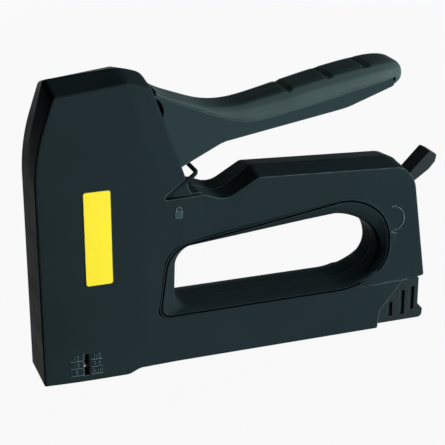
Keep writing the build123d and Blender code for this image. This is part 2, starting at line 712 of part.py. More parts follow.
def soft_section(half, tall, radius):
    """Corners of an oblong with each corner rounded off in short flats."""
    places = []
    for corner, (side, rise) in enumerate(((1, 1), (-1, 1), (-1, -1), (1, -1))):
        for step in range(PALM_FLATS + 1):
            turn = math.radians(90 * (corner + step / PALM_FLATS))
            across_place = side * (half - radius) + radius * math.cos(turn)
            up_place = rise * (tall - radius) + radius * math.sin(turn)
            places.append((across_place, up_place))
    return places


def handle_grip():
    """Soft palm pad moulded over the lever, with three cross grooves."""
    sections = []
    for x, low, high, half, radius in PALM_STATIONS:
        plane = Plane((x, 0, (low + high) / 2), x_dir=(0, 1, 0), z_dir=(1, 0, 0))
        sections.append(plane * polygon(soft_section(half, (high - low) / 2, radius)))
    pad = loft(sections)
    pad = pad - across(seam_face(0), -COLUMN_HALF, COLUMN_HALF)
    for x, top in GROOVE_PLACES:
        pad = pad - bar_y((x, top + GROOVE_RADIUS - GROOVE_DEPTH), GROOVE_RADIUS, -GROOVE_HALF, GROOVE_HALF)
    return pad


def return_spring():
    """Pair of coils on the pivot pin that lift the handle back."""
    coil = PIVOT_PIN_RADIUS + SLIDE_GAP
    pair = []
    for near, far in ((-WEB_HALF, -HUB_HALF), (HUB_HALF, WEB_HALF)):
        tube = bar_y(PIVOT, coil + RETURN_WIRE, near + PART_GAP, far - PART_GAP)
        pair.append(tube - bar_y(PIVOT, coil, near, far))
    return Compound(children=pair)


def power_lever():
    """Two-step power lever: hub with a flat under the leaf and a tab out of the heel."""
    hub = bar_y(power_pivot, POWER_HUB_RADIUS, -POWER_HALF, POWER_HALF)
    tab = across(outline(POWER_TAB, POWER_TAB_RADII), -POWER_HALF, POWER_HALF)
    neck = across(
        polygon(
            (power_pivot[0] - POWER_NECK / 2, power_pivot[1] + POWER_NECK),
            POWER_TAB[0],
            POWER_TAB[-1],
            (power_pivot[0] + POWER_NECK, power_pivot[1] - POWER_NECK / 2),
        ),
        -POWER_HALF,
        POWER_HALF,
    )
    turn = math.radians(90 + POWER_SWING)
    lobe_place = (
        power_pivot[0] + POWER_LOBE_REACH * math.cos(turn),
        power_pivot[1] + POWER_LOBE_REACH * math.sin(turn),
    )
    lobe = bar_y(lobe_place, POWER_LOBE_RADIUS, -POWER_HALF, POWER_HALF)
    bore = bar_y(power_pivot, POWER_PIN_RADIUS + RUNNING_GAP, -POWER_HALF - 1, POWER_HALF + 1)
    return hub + neck + lobe + tab - bore


def handle_latch():
    """Bent wire bail: toes in the shells, two arms and a crossbar under the handle's web."""
    turn = math.radians(BAIL_REST_ANGLE)
    top = (
        BAIL_PIVOT[0] + BAIL_LENGTH * math.cos(turn),
        BAIL_PIVOT[1] + BAIL_LENGTH * math.sin(turn),
    )
    heel = (
        BAIL_PIVOT[0] - BAIL_HEEL * math.cos(turn),
        BAIL_PIVOT[1] - BAIL_HEEL * math.sin(turn),
    )
    bend_share = 1 - math.sqrt(0.5)
    arm = []
    for back, aside in ((1, 0), (bend_share, bend_share), (0, 1)):
        x = top[0] - back * BAIL_BEND * math.cos(turn)
        z = top[1] - back * BAIL_BEND * math.sin(turn)
        arm.append((x, BAIL_ARM_Y - aside * BAIL_BEND, z))
    right = [(heel[0], BAIL_ARM_Y, heel[1]), *arm]
    left = [(x, -y, z) for x, y, z in right]
    path = Polyline(*left, *reversed(right))
    start = Plane(left[0], z_dir=(math.cos(turn), 0, math.sin(turn)))
    bail = sweep(start * Circle(BAIL_WIRE_RADIUS), path=path, transition=Transition.RIGHT)
    inner = BAIL_TOE_Y + SLIDE_GAP
    for near, far in ((-BAIL_ARM_Y, -inner), (inner, BAIL_ARM_Y)):
        bail = bail + bar_y(BAIL_PIVOT, BAIL_TOE_RADIUS, near, far)
    return bail


def magazine_cap():
    """End cap of the magazine with finger slots on both sides."""
    gap = PART_GAP
    face = outline(
        [
            (cap_face, CAP_BOTTOM_Z),
            (CAP_KNEE[0] + gap, CAP_KNEE[1] - gap),
            (CAP_NOTCH[0] + gap / 2, CAP_NOTCH[1] - 1.5 * gap),
            (CAP_REAR_X, HEEL[1] - 2 * gap),
            (CAP_REAR_X, CAP_LIP[1] + CAP_LIP_RISE),
            CAP_LIP,
            (CAP_LIP[0] - gap, CAP_BOTTOM_Z),
        ],
        CAP_RADII,
    )
    cap = across(face, -CAP_HALF, CAP_HALF)
    for x, low, high in CAP_SLOTS:
        for sign in (-1, 1):
            slot = Plane.XZ.offset(sign * (CAP_HALF - CAP_SLOT_DEPTH)) * (
                Pos(x, (low + high) / 2) * Rectangle(CAP_SLOT_WIDTH, high - low)
            )
            cap = cap - extrude(slot, sign * (CAP_SLOT_DEPTH + 1))
    core_seat = slab((0, core_end), (-CORE_HALF, CORE_HALF), (CORE_BOTTOM_Z, CORE_TOP_Z))
    plug = slab((cap_face, core_end), (-core_in_half, core_in_half), (CORE_BOTTOM_Z + CORE_WALL, CORE_TOP_Z))
    return cap - (core_seat - plug) - bar_x(0, ROD_Z, ROD_RADIUS, 0, rod_end)


def magazine_core():
    """Folded core rail that the strip straddles, seated in the cap and closed at its front."""
    outer = slab((CORE_FRONT_X, core_end), (-CORE_HALF, CORE_HALF), (CORE_BOTTOM_Z, CORE_TOP_Z))
    inner = slab(
        (CORE_FRONT_X + CORE_WALL, core_end + 1),
        (-core_in_half, core_in_half),
        (CORE_BOTTOM_Z + CORE_WALL, CORE_TOP_Z + 1),
    )
    return outer - inner


def pusher_rod():
    """Guide rod of the pusher, from the core's front wall into the cap."""
    return bar_x(0, ROD_Z, ROD_RADIUS, CORE_FRONT_X + CORE_WALL, rod_end)


def pusher():
    """Saddle over the core that pushes the strip, with a tongue on the guide rod."""
    rear = PUSHER_FRONT_X + PUSHER_LENGTH
    saddle = slab((PUSHER_FRONT_X, rear), (-PUSHER_HALF, PUSHER_HALF), (PUSHER_CHEEK_Z, PUSHER_TOP_Z))
    room = CORE_HALF + SLIDE_GAP
    inside = slab((0, rear + 1), (-room, room), (0, CORE_TOP_Z + SLIDE_GAP))
    tongue_half = core_in_half - SLIDE_GAP
    tongue = slab(
        (PUSHER_FRONT_X, tongue_rear),
        (-tongue_half, tongue_half),
        (CORE_BOTTOM_Z + CORE_WALL + SLIDE_GAP, PUSHER_TOP_Z),
    )
    return saddle - inside + tongue - bar_x(0, ROD_Z, ROD_RADIUS + RUNNING_GAP, 0, rear + 1)


def pusher_spring():
    """Long spring round the rod, between the pusher's tongue and the cap."""
    outer = bar_x(0, ROD_Z, PUSHER_SPRING_RADIUS, tongue_rear, cap_face)
    return outer - bar_x(0, ROD_Z, PUSHER_SPRING_RADIUS - PUSHER_SPRING_WIRE, 0, core_end)


def catch_spring():
    """Bowed strip on the core that presses on the channel's roof and holds the magazine in."""
    rise = CHANNEL_ROOF_Z - CATCH_GAP - CATCH_THICK
    middle_x = CATCH_FRONT_X + CATCH_LENGTH / 2
    rear_x = CATCH_FRONT_X + CATCH_LENGTH
    lower = ThreePointArc((CATCH_FRONT_X, CORE_TOP_Z), (middle_x, rise), (rear_x, CORE_TOP_Z))
    upper = ThreePointArc(
        (CATCH_FRONT_X - CATCH_THICK, CORE_TOP_Z),
        (middle_x, rise + CATCH_THICK),
        (rear_x + CATCH_THICK, CORE_TOP_Z),
    )
    feet = [
        Line((CATCH_FRONT_X - CATCH_THICK, CORE_TOP_Z), (CATCH_FRONT_X, CORE_TOP_Z)),
        Line((rear_x, CORE_TOP_Z), (rear_x + CATCH_THICK, CORE_TOP_Z)),
    ]
    face = make_face([lower.edge(), upper.edge(), feet[0].edge(), feet[1].edge()])
    return across(face, -CATCH_HALF, CATCH_HALF)


def main():
    """Build every piece and write one file for each."""
    os.makedirs("parts", exist_ok=True)
    left, right = shells()
    rivets = Compound(children=[rivet_bar(z) for z in rivet_heights()])
    pieces = {
        "left_shell": left,
        "right_shell": right,
        "housing_screws": screws(),
        "nose_plate": nose_plate(),
        "staple_channel": staple_channel(),
        "hammer_bumper": hammer_bumper(),
        "handle_pivot_pin": bar_y(PIVOT, PIVOT_PIN_RADIUS, -PIVOT_PIN_HALF, PIVOT_PIN_HALF),
        "fulcrum_pin": bar_y((FULCRUM_X, fulcrum_z), FULCRUM_RADIUS, -FULCRUM_HALF, FULCRUM_HALF),
        "power_lever_pin": bar_y(power_pivot, POWER_PIN_RADIUS, -POWER_PIN_HALF, POWER_PIN_HALF),
        "power_spring": power_leaf(),
        "helper_spring": helper_leaf(),
        "handle_return_spring": return_spring(),
        "handle_lever": handle_lever(),
        "handle_grip": handle_grip(),
        "hammer": hammer(),
        "driver_blade": driver_blade(),
        "blade_rivets": rivets,
        "power_lever": power_lever(),
        "handle_latch": handle_latch(),
        "magazine_cap": magazine_cap(),
        "magazine_core": magazine_core(),
        "pusher_rod": pusher_rod(),
        "catch_spring": catch_spring(),
        "pusher": pusher(),
        "pusher_spring": pusher_spring(),
    }
    for name, shape in pieces.items():
        export_step(shape, "parts/" + name + ".step")
    print("hammer lift", round(lift, 3))


if __name__ == "__main__":
    main()
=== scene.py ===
import json
import math

import bmesh
import bpy
from mathutils import Matrix, Vector, geometry

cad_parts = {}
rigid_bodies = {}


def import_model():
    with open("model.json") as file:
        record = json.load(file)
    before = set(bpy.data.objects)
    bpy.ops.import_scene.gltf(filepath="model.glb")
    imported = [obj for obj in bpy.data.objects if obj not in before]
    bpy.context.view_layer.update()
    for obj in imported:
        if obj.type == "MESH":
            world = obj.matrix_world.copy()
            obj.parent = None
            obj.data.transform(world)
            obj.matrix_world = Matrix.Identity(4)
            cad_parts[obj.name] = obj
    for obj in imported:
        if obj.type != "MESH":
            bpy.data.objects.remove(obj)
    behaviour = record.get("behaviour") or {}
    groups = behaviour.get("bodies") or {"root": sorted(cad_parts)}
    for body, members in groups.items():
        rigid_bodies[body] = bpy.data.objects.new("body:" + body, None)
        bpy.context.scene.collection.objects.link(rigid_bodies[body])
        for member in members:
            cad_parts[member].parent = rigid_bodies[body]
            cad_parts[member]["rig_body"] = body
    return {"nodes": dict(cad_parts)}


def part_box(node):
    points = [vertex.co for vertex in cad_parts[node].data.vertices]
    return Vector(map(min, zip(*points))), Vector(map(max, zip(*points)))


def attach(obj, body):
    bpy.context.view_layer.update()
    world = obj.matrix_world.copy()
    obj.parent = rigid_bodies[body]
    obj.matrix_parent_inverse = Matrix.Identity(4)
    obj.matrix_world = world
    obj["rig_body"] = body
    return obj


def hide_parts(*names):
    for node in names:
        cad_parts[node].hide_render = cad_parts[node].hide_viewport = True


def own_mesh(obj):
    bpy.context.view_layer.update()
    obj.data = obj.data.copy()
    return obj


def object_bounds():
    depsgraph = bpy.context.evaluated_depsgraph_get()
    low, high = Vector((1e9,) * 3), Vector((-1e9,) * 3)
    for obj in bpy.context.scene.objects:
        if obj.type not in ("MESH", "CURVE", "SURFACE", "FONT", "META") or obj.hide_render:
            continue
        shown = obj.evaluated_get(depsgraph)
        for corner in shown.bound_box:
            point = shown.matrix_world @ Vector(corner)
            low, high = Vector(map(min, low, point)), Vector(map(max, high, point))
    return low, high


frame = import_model()
CAD_BOX = [list(corner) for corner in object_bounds()]

bl_info = {
    "name": "Staple gun dressing",
    "version": (1, 0, 0),
    "blender": (4, 5, 0),
    "location": "3D View > Sidebar > Staple gun",
    "description": "Finishes, small pieces and studio for a hand staple gun",
    "category": "Object",
}

MM = 0.001
CUT_SNAP = 1e-7            # how near a corner counts as on a cutting plane
CLEAR_OF_WALL = 0.05       # where rays towards a side wall start
CAST_SINK = 0.1 * MM       # how deep cast marks are rooted in the wall
FONT_SIZE = 1.38           # font size whose figures are one unit high


# Settings

class StapleGunSizes(bpy.types.PropertyGroup):
    """Sizes of the pieces that are added to the bare tool."""

    label_width: bpy.props.FloatProperty(
        name="Label width", description="Width of the side label", default=0.0119, unit="LENGTH"
    )
    label_height: bpy.props.FloatProperty(
        name="Label height", description="Height of the side label", default=0.0432, unit="LENGTH"
    )
    label_place: bpy.props.FloatVectorProperty(
        name="Label place", description="Middle of the label along and up",
        size=2, default=(0.0204, 0.0676), unit="LENGTH"
    )
    label_proud: bpy.props.FloatProperty(
        name="Label proud", description="How far the label stands off the paint",
        default=0.0003, unit="LENGTH"
    )
    cast_proud: bpy.props.FloatProperty(
        name="Cast mark height", description="How far cast marks stand off the paint",
        default=0.00028, unit="LENGTH"
    )
    legend_height: bpy.props.FloatProperty(
        name="Legend height", description="Height of the numbers beside the window",
        default=0.0021, unit="LENGTH"
    )
    screw_head: bpy.props.FloatProperty(
        name="Screw head radius", description="Radius of the housing screws' heads",
        default=0.0025, unit="LENGTH"
    )
    screw_recess: bpy.props.FloatProperty(
        name="Recess depth", description="Depth of the screws' cross recess", default=0.0012, unit="LENGTH"
    )
    # The dark line round the hand opening is a painted shadow of the rim's step.
    rim_shadow_line: bpy.props.FloatProperty(
        name="Rim line width", description="Width of the dark line round the hand opening",
        default=0.0008, unit="LENGTH"
    )
    pad_skin: bpy.props.FloatProperty(
        name="Pad skin size", description="Spacing of the palm pad's mesh", default=0.00045, unit="LENGTH"
    )
    spring_wire: bpy.props.FloatProperty(
        name="Spring wire radius", description="Radius of the pusher spring's wire",
        default=0.00035, unit="LENGTH"
    )


class StapleGunColours(bpy.types.PropertyGroup):
    """Colours of the finishes."""

    housing: bpy.props.FloatVectorProperty(
        name="Housing", description="Satin paint of the shells",
        subtype="COLOR", size=3, default=(0.0105, 0.0180, 0.0200)
    )
    # Edge colour: partly rubbed wear, partly a painted highlight along the edges.
    edge: bpy.props.FloatVectorProperty(
        name="Rubbed edge", description="Paint rubbed bright along edges",
        subtype="COLOR", size=3, default=(0.105, 0.165, 0.168)
    )
    grip: bpy.props.FloatVectorProperty(
        name="Palm pad", description="Soft grained pad",
        subtype="COLOR", size=3, default=(0.0300, 0.0500, 0.0500)
    )
    moulding: bpy.props.FloatVectorProperty(
        name="Moulding", description="Cap and power lever",
        subtype="COLOR", size=3, default=(0.0085, 0.0140, 0.0155)
    )
    label: bpy.props.FloatVectorProperty(
        name="Label", description="Bright side label", subtype="COLOR", size=3, default=(0.66, 0.56, 0.010)
    )
    steel: bpy.props.FloatVectorProperty(
        name="Steel", description="Hard bare steel inside",
        subtype="COLOR", size=3, default=(0.40, 0.41, 0.42)
    )


class StapleGunSettings(bpy.types.PropertyGroup):
    """Everything a user may change."""

    sizes: bpy.props.PointerProperty(type=StapleGunSizes)
    colours: bpy.props.PointerProperty(type=StapleGunColours)


# Node helpers

def new_finish(name):
    """Node material with one shader, and its Object coordinates."""
    material = bpy.data.materials.new(name)
    material.use_nodes = True
    tree = material.node_tree
    tree.nodes.clear()
    output = tree.nodes.new("ShaderNodeOutputMaterial")
    shader = tree.nodes.new("ShaderNodeBsdfPrincipled")
    tree.links.new(shader.outputs["BSDF"], output.inputs["Surface"])
    place = tree.nodes.new("ShaderNodeTexCoord").outputs["Object"]
    return material, tree, shader, place


def noise(tree, place, scale, detail=3.0, stretch=(1.0, 1.0, 1.0)):
    """Soft random pattern, stretched along the axes."""
    mapping = tree.nodes.new("ShaderNodeMapping")
    mapping.inputs["Scale"].default_value = stretch
    tree.links.new(place, mapping.inputs["Vector"])
    node = tree.nodes.new("ShaderNodeTexNoise")
    node.inputs["Scale"].default_value = scale
    node.inputs["Detail"].default_value = detail
    tree.links.new(mapping.outputs["Vector"], node.inputs["Vector"])
    return node.outputs["Fac"]


def cells(tree, place, scale):
    """Distance pattern of small cells."""
    node = tree.nodes.new("ShaderNodeTexVoronoi")
    node.inputs["Scale"].default_value = scale
    tree.links.new(place, node.inputs["Vector"])
    return node.outputs["Distance"]


def spread(tree, value, low, high, out_low, out_high):
    """Value range mapped to another, clamped."""
    node = tree.nodes.new("ShaderNodeMapRange")
    node.inputs["From Min"].default_value = low
    node.inputs["From Max"].default_value = high
    node.inputs["To Min"].default_value = out_low
    node.inputs["To Max"].default_value = out_high
    tree.links.new(value, node.inputs["Value"])
    return node.outputs["Result"]


def times(tree, first, second):
    """Product of two values."""
    node = tree.nodes.new("ShaderNodeMath")
    node.operation = "MULTIPLY"
    tree.links.new(first, node.inputs[0])
    tree.links.new(second, node.inputs[1])
    return node.outputs["Value"]


def mixed(tree, factor, first, second):
    """Colour between two colours, or from a socket to a colour."""
    node = tree.nodes.new("ShaderNodeMix")
    node.data_type = "RGBA"
    tree.links.new(factor, node.inputs[0])
    for socket, colour in ((node.inputs[6], first), (node.inputs[7], second)):
        if isinstance(colour, bpy.types.NodeSocket):
            tree.links.new(colour, socket)
        else:
            socket.default_value = (*colour, 1.0)
    return node.outputs[2]


def bump(tree, height, strength, distance, normal=None):
    """Normal raised by a height pattern."""
    node = tree.nodes.new("ShaderNodeBump")
    node.inputs["Strength"].default_value = strength
    node.inputs["Distance"].default_value = distance
    tree.links.new(height, node.inputs["Height"])
    if normal is not None:
        tree.links.new(normal, node.inputs["Normal"])
    return node.outputs["Normal"]


def rounded(tree, radius):
    """Normal that rounds edges off over a radius."""
    node = tree.nodes.new("ShaderNodeBevel")
    node.samples = 6
    node.inputs["Radius"].default_value = radius
    return node.outputs["Normal"]


def soft_edge(tree, radius, rub):
    """Normal that rounds edges, and how near a sharp edge the surface is."""
    flat = tree.nodes.new("ShaderNodeNewGeometry").outputs["Normal"]
    node = tree.nodes.new("ShaderNodeVectorMath")
    node.operation = "DOT_PRODUCT"
    tree.links.new(rounded(tree, rub), node.inputs[0])
    tree.links.new(flat, node.inputs[1])
    near = spread(tree, node.outputs["Value"], 0.985, 0.82, 0.0, 1.0)
    return rounded(tree, radius), near


def corner_shade_mask(tree, reach):
    """How deep in a hollow the surface lies, from 1 in the open to 0 in a corner; it masks painted shade."""
    node = tree.nodes.new("ShaderNodeAmbientOcclusion")
    node.samples = 4
    node.inputs["Distance"].default_value = reach
    return node.outputs["AO"]


def shade(colour, factor):
    """A colour made darker or lighter."""
    return tuple(channel * factor for channel in colour)


# Finishes

def satin_paint(name, colour, edge_wear_and_highlight, rough, soft=0.6 * MM):
    """Powder coat: fine grain, faint handling marks, edges painted brighter partly as rubbed wear and partly
    as a painted highlight, and painted shade in inner corners.
    """
    material, tree, shader, place = new_finish(name)
    normal, near = soft_edge(tree, radius=soft, rub=0.7 * MM)
    cloud = noise(tree, place, scale=38.0, detail=4.0)
    base = mixed(tree, cloud, shade(colour, 0.86), shade(colour, 1.14))
    # Edges are painted lighter in patches, partly as rubbed wear and partly as a painted highlight.
    patch = spread(tree, noise(tree, place, scale=210.0, detail=5.0), 0.40, 0.66, 0.45, 0.95)
    base = mixed(tree, times(tree, near, patch), base, edge_wear_and_highlight)
    # Inner corners and hollows are painted darker here, as painted shade.
    clear = spread(tree, corner_shade_mask(tree, reach=2.2 * MM), 0.25, 0.75, 0.0, 1.0)
    base = mixed(tree, clear, shade(colour, 0.25), base)
    tree.links.new(base, shader.inputs["Base Color"])
    smear = noise(tree, place, scale=26.0, detail=5.0, stretch=(1.0, 1.0, 3.2))
    tree.links.new(spread(tree, smear, 0.3, 0.7, rough - 0.05, rough + 0.07), shader.inputs["Roughness"])
    grain = noise(tree, place, scale=2600.0, detail=2.0)
    relief = bump(tree, grain, strength=0.10, distance=0.05 * MM, normal=normal)
    tree.links.new(relief, shader.inputs["Normal"])
    shader.inputs["Specular IOR Level"].default_value = 0.002
    return material


def grained_rubber(name, colour, rough):
    """Moulded soft pad with a leather-like grain, a dusty bloom, and a painted highlight along its edges."""
    material, tree, shader, place = new_finish(name)
    normal, near = soft_edge(tree, radius=0.6 * MM, rub=0.6 * MM)
    cloud = noise(tree, place, scale=60.0, detail=4.0)
    base = mixed(tree, cloud, shade(colour, 0.8), shade(colour, 1.25))
    # Edges are painted lighter, as a painted highlight.
    base = mixed(tree, near, base, shade(colour, 1.9))
    tree.links.new(base, shader.inputs["Base Color"])
    tree.links.new(spread(tree, cloud, 0.3, 0.7, rough - 0.06, rough + 0.08), shader.inputs["Roughness"])
    grain = cells(tree, place, scale=1500.0)
    fine = bump(tree, grain, strength=0.35, distance=0.09 * MM, normal=normal)
    wave = noise(tree, place, scale=520.0, detail=2.0)
    relief = bump(tree, wave, strength=0.16, distance=0.12 * MM, normal=fine)
    tree.links.new(relief, shader.inputs["Normal"])
    shader.inputs["Specular IOR Level"].default_value = 0.05
    return material


def moulded_plastic(name, colour, rough):
    """Spark-eroded moulding texture, with a painted highlight along the edges."""
    material, tree, shader, place = new_finish(name)
    normal, near = soft_edge(tree, radius=0.5 * MM, rub=0.5 * MM)
    cloud = noise(tree, place, scale=70.0, detail=4.0)
    base = mixed(tree, cloud, shade(colour, 0.85), shade(colour, 1.18))
    # Edges are painted lighter, as a painted highlight.
    base = mixed(tree, spread(tree, near, 0.0, 1.0, 0.0, 0.55), base, shade(colour, 4.2))
    tree.links.new(base, shader.inputs["Base Color"])
    tree.links.new(spread(tree, cloud, 0.3, 0.7, rough - 0.05, rough + 0.06), shader.inputs["Roughness"])
    spark = noise(tree, place, scale=1900.0, detail=3.0)
    relief = bump(tree, spark, strength=0.22, distance=0.05 * MM, normal=normal)
    tree.links.new(relief, shader.inputs["Normal"])
    shader.inputs["Specular IOR Level"].default_value = 0.06
    return material


def brushed_metal(name, colour, rough, stretch):
    """Bare or plated steel with fine drawing lines and dull patches."""
    material, tree, shader, place = new_finish(name)
    lines = noise(tree, place, scale=900.0, detail=3.0, stretch=stretch)
    cloud = noise(tree, place, scale=90.0, detail=4.0)
    base = mixed(tree, cloud, shade(colour, 0.82), shade(colour, 1.08))
    tree.links.new(base, shader.inputs["Base Color"])
    shader.inputs["Metallic"].default_value = 1.0
    tree.links.new(spread(tree, lines, 0.25, 0.75, rough - 0.08, rough + 0.1), shader.inputs["Roughness"])
    relief = bump(tree, lines, strength=0.12, distance=0.03 * MM)
    tree.links.new(relief, shader.inputs["Normal"])
    return material


def label_film(name, colour):
    """Glossy printed label with faint ink mottle and hairline scuffs."""
    material, tree, shader, place = new_finish(name)
    mottle = noise(tree, place, scale=320.0, detail=4.0)
    base = mixed(tree, mottle, shade(colour, 0.93), shade(colour, 1.03))
    streak = noise(tree, place, scale=420.0, detail=2.0, stretch=(0.22, 1.0, 2.6))
    scuff = spread(tree, streak, 0.70, 0.78, 0.0, 0.45)
    base = mixed(tree, scuff, base, shade(colour, 0.72))
    tree.links.new(base, shader.inputs["Base Color"])
    tree.links.new(spread(tree, mottle, 0.3, 0.7, 0.30, 0.42), shader.inputs["Roughness"])
    relief = bump(tree, mottle, strength=0.06, distance=0.03 * MM)
    tree.links.new(relief, shader.inputs["Normal"])
    return material


# Mesh helpers

def paint_nodes(material, *names):
    """Gives CAD nodes one finish."""
    for name in names:
        mesh = frame["nodes"][name].data
        mesh.materials.clear()
        mesh.materials.append(material)


def add_piece(name, bm, material, body):
    """New piece from a bmesh, riding on a body."""
    mesh = bpy.data.meshes.new(name)
    bm.to_mesh(mesh)
    bm.free()
    mesh.materials.append(material)
    piece = bpy.data.objects.new(name, mesh)
    bpy.context.scene.collection.objects.link(piece)
    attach(piece, body)
    return piece


def round_rims(piece, width):
    """Small bevel on a piece's sharp rims."""
    bevel = piece.modifiers.new("rims", "BEVEL")
    bevel.width = width
    bevel.segments = 2
    bevel.limit_method = "ANGLE"
    bevel.angle_limit = math.radians(40)


def cut_columns(bm, low, high, count):
    """Splits flat faces into upright strips, so that they can follow a curved wall."""
    for index in range(1, count):
        at = low + (high - low) * index / count
        whole = bm.verts[:] + bm.edges[:] + bm.faces[:]
        bmesh.ops.bisect_plane(bm, geom=whole, plane_co=(at, 0, 0), plane_no=(1, 0, 0), dist=CUT_SNAP)


def raise_on(bm, node, sink, proud):
    """Lays flat faces of the side view on a node's left wall and raises them off it."""
    wall = frame["nodes"][node]
    for vert in bm.verts:
        start = Vector((vert.co.x, -CLEAR_OF_WALL, vert.co.z))
        hit, place, normal, index = wall.ray_cast(start, Vector((0, 1, 0)))
        if not hit:
            raise RuntimeError("a mark lies off the wall of " + node)
        vert.co.y = place.y + sink
    bmesh.ops.recalc_face_normals(bm, faces=bm.faces[:])
    flip = [face for face in bm.faces if face.normal.y > 0]
    bmesh.ops.reverse_faces(bm, faces=flip)
    made = bmesh.ops.extrude_face_region(bm, geom=bm.faces[:], use_keep_orig=True)
    raised = [item for item in made["geom"] if isinstance(item, bmesh.types.BMVert)]
    bmesh.ops.translate(bm, verts=raised, vec=(0, -(sink + proud), 0))
    bmesh.ops.recalc_face_normals(bm, faces=bm.faces[:])


def flat_plate(bm, middle, width, height, radius, steps):
    """Rounded rectangle in the side view."""
    made = bmesh.ops.create_grid(bm, x_segments=1, y_segments=1, size=0.5)
    stand = Matrix.Translation((middle[0], 0, middle[1])) @ Matrix.Rotation(math.pi / 2, 4, "X")
    size = Matrix.Diagonal((width, height, 1, 1))
    bmesh.ops.transform(bm, matrix=stand @ size, verts=made["verts"])
    bmesh.ops.bevel(
        bm, geom=made["verts"], offset=radius, segments=steps, affect="VERTICES", profile=0.5, material=-1
    )


def flat_arc(bm, middle, radius, width, start, sweep, steps):
    """Curved stroke in the side view, from an angle through a sweep."""
    before = set(bm.verts)
    turn = Matrix.Rotation(-start, 4, "Y")
    near = bm.verts.new(turn @ Vector((radius - width / 2, 0, 0)))
    far = bm.verts.new(turn @ Vector((radius + width / 2, 0, 0)))
    edge = bm.edges.new((near, far))
    bmesh.ops.spin(
        bm, geom=[near, far, edge], cent=(0, 0, 0), axis=(0, -1, 0), angle=sweep, steps=steps,
        use_duplicate=False
    )
    made = [vert for vert in bm.verts if vert not in before]
    bmesh.ops.translate(bm, verts=made, vec=(middle[0], 0, middle[1]))


def outline_ring(bm, corners, radii, grow, steps=10):
    """Edges of an outline in the side view, grown outwards. Corners and radii are in millimetres."""
    lines = []
    for start, end in zip(corners, corners[1:] + corners[:1]):
        run = (Vector(end) - Vector(start)).normalized()
        out = Vector((-run.y, run.x)) * (grow / MM)
        lines.append((Vector(start) + out, Vector(end) + out))
    before = set(bm.edges)
    verts = []
    for first, second in zip(lines[-1:] + lines[:-1], lines):
        meet = geometry.intersect_line_line_2d(
            first[1] * 2 - first[0], first[0], second[0] * 2 - second[1], second[1]
        )
        verts.append(bm.verts.new((meet.x * MM, 0, meet.y * MM)))
    bm.faces.new(verts)
    for vert, radius in zip(verts, radii):
        first, second = [(edge.other_vert(vert).co - vert.co) for edge in vert.link_edges]
        along = (radius * MM + grow) / math.tan(first.angle(second) / 2)
        bmesh.ops.bevel(
            bm, geom=[vert], offset=along, segments=steps, affect="VERTICES", profile=0.5, material=-1
        )
    ring = [edge for edge in bm.edges if edge not in before]
    bmesh.ops.delete(bm, geom=ring[0].link_faces[:], context="FACES_ONLY")
    return ring


def coil(bm, start, along, radius, wire, turns, steps):
    """Round wire wound about a line from its start."""
    run = Vector(along)
    axis = run.normalized()
    out = axis.orthogonal().normalized()
    made = bmesh.ops.create_circle(bm, segments=8, radius=wire)
    turned = Matrix((out, axis, out.cross(axis))).transposed().to_4x4()
    place = Matrix.Translation(Vector(start) + out * radius) @ turned
    bmesh.ops.transform(bm, matrix=place, verts=made["verts"])
    edges = dict.fromkeys(edge for vert in made["verts"] for edge in vert.link_edges)
    ring = [*made["verts"], *edges]
    bmesh.ops.spin(
        bm, geom=ring, cent=start, axis=axis, dvec=run / (turns * steps), angle=2 * math.pi * turns,
        steps=turns * steps, use_duplicate=False
    )
    ends = [edge for edge in bm.edges if edge.is_boundary]
    bmesh.ops.holes_fill(bm, edges=ends, sides=0)
    bmesh.ops.recalc_face_normals(bm, faces=bm.faces[:])
    for face in bm.faces:
        face.smooth = True


def flat_bar(bm, start, end, width):
    """Straight stroke in the side view."""
    run = Vector((end[0] - start[0], 0, end[1] - start[1]))
    side = Vector((-run.z, 0, run.x)).normalized() * (width / 2)
    first = Vector((start[0], 0, start[1]))
    last = Vector((end[0], 0, end[1]))
    corners = [bm.verts.new(place) for place in (first - side, last - side, last + side, first + side)]
    bm.faces.new(corners)


def flat_text(words, place, height):
    """Small plain characters in the side view, as a bmesh."""
    curve = bpy.data.curves.new("characters", "FONT")
    curve.body = words
    curve.size = height * FONT_SIZE
    curve.align_x = "CENTER"
    curve.resolution_u = 3
    holder = bpy.data.objects.new("characters", curve)
    bpy.context.scene.collection.objects.link(holder)
    bpy.context.view_layer.update()
    mesh = bpy.data.meshes.new_from_object(holder)
    bm = bmesh.new()
    bm.from_mesh(mesh)
    bpy.data.objects.remove(holder)
    bpy.data.curves.remove(curve)
    bpy.data.meshes.remove(mesh)
    stand = Matrix.Translation((place[0], 0, place[1])) @ Matrix.Rotation(math.pi / 2, 4, "X")
    bmesh.ops.transform(bm, matrix=stand, verts=bm.verts[:])
    return bm


def body_of(node):
    """Body that a CAD node rides on."""
    return frame["nodes"][node]["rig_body"]


def joined(parts):
    """One bmesh from several."""
    whole = bmesh.new()
    for bm in parts:
        mesh = bpy.data.meshes.new("part")
        bm.to_mesh(mesh)
        bm.free()
        whole.from_mesh(mesh)
        bpy.data.meshes.remove(mesh)
    return whole


# Operators

class STAPLEGUN_OT_paint_housing(bpy.types.Operator):
    """Satin paint on both half shells"""

    bl_idname = "staple_gun.paint_housing"
    bl_label = "Paint housing"

    def execute(self, context):
        colours = context.scene.staple_gun.colours
        paint = satin_paint("housing_paint", colours.housing, colours.edge, rough=0.33, soft=1.5 * MM)
        paint_nodes(paint, "left_shell", "right_shell")
        return {"FINISHED"}


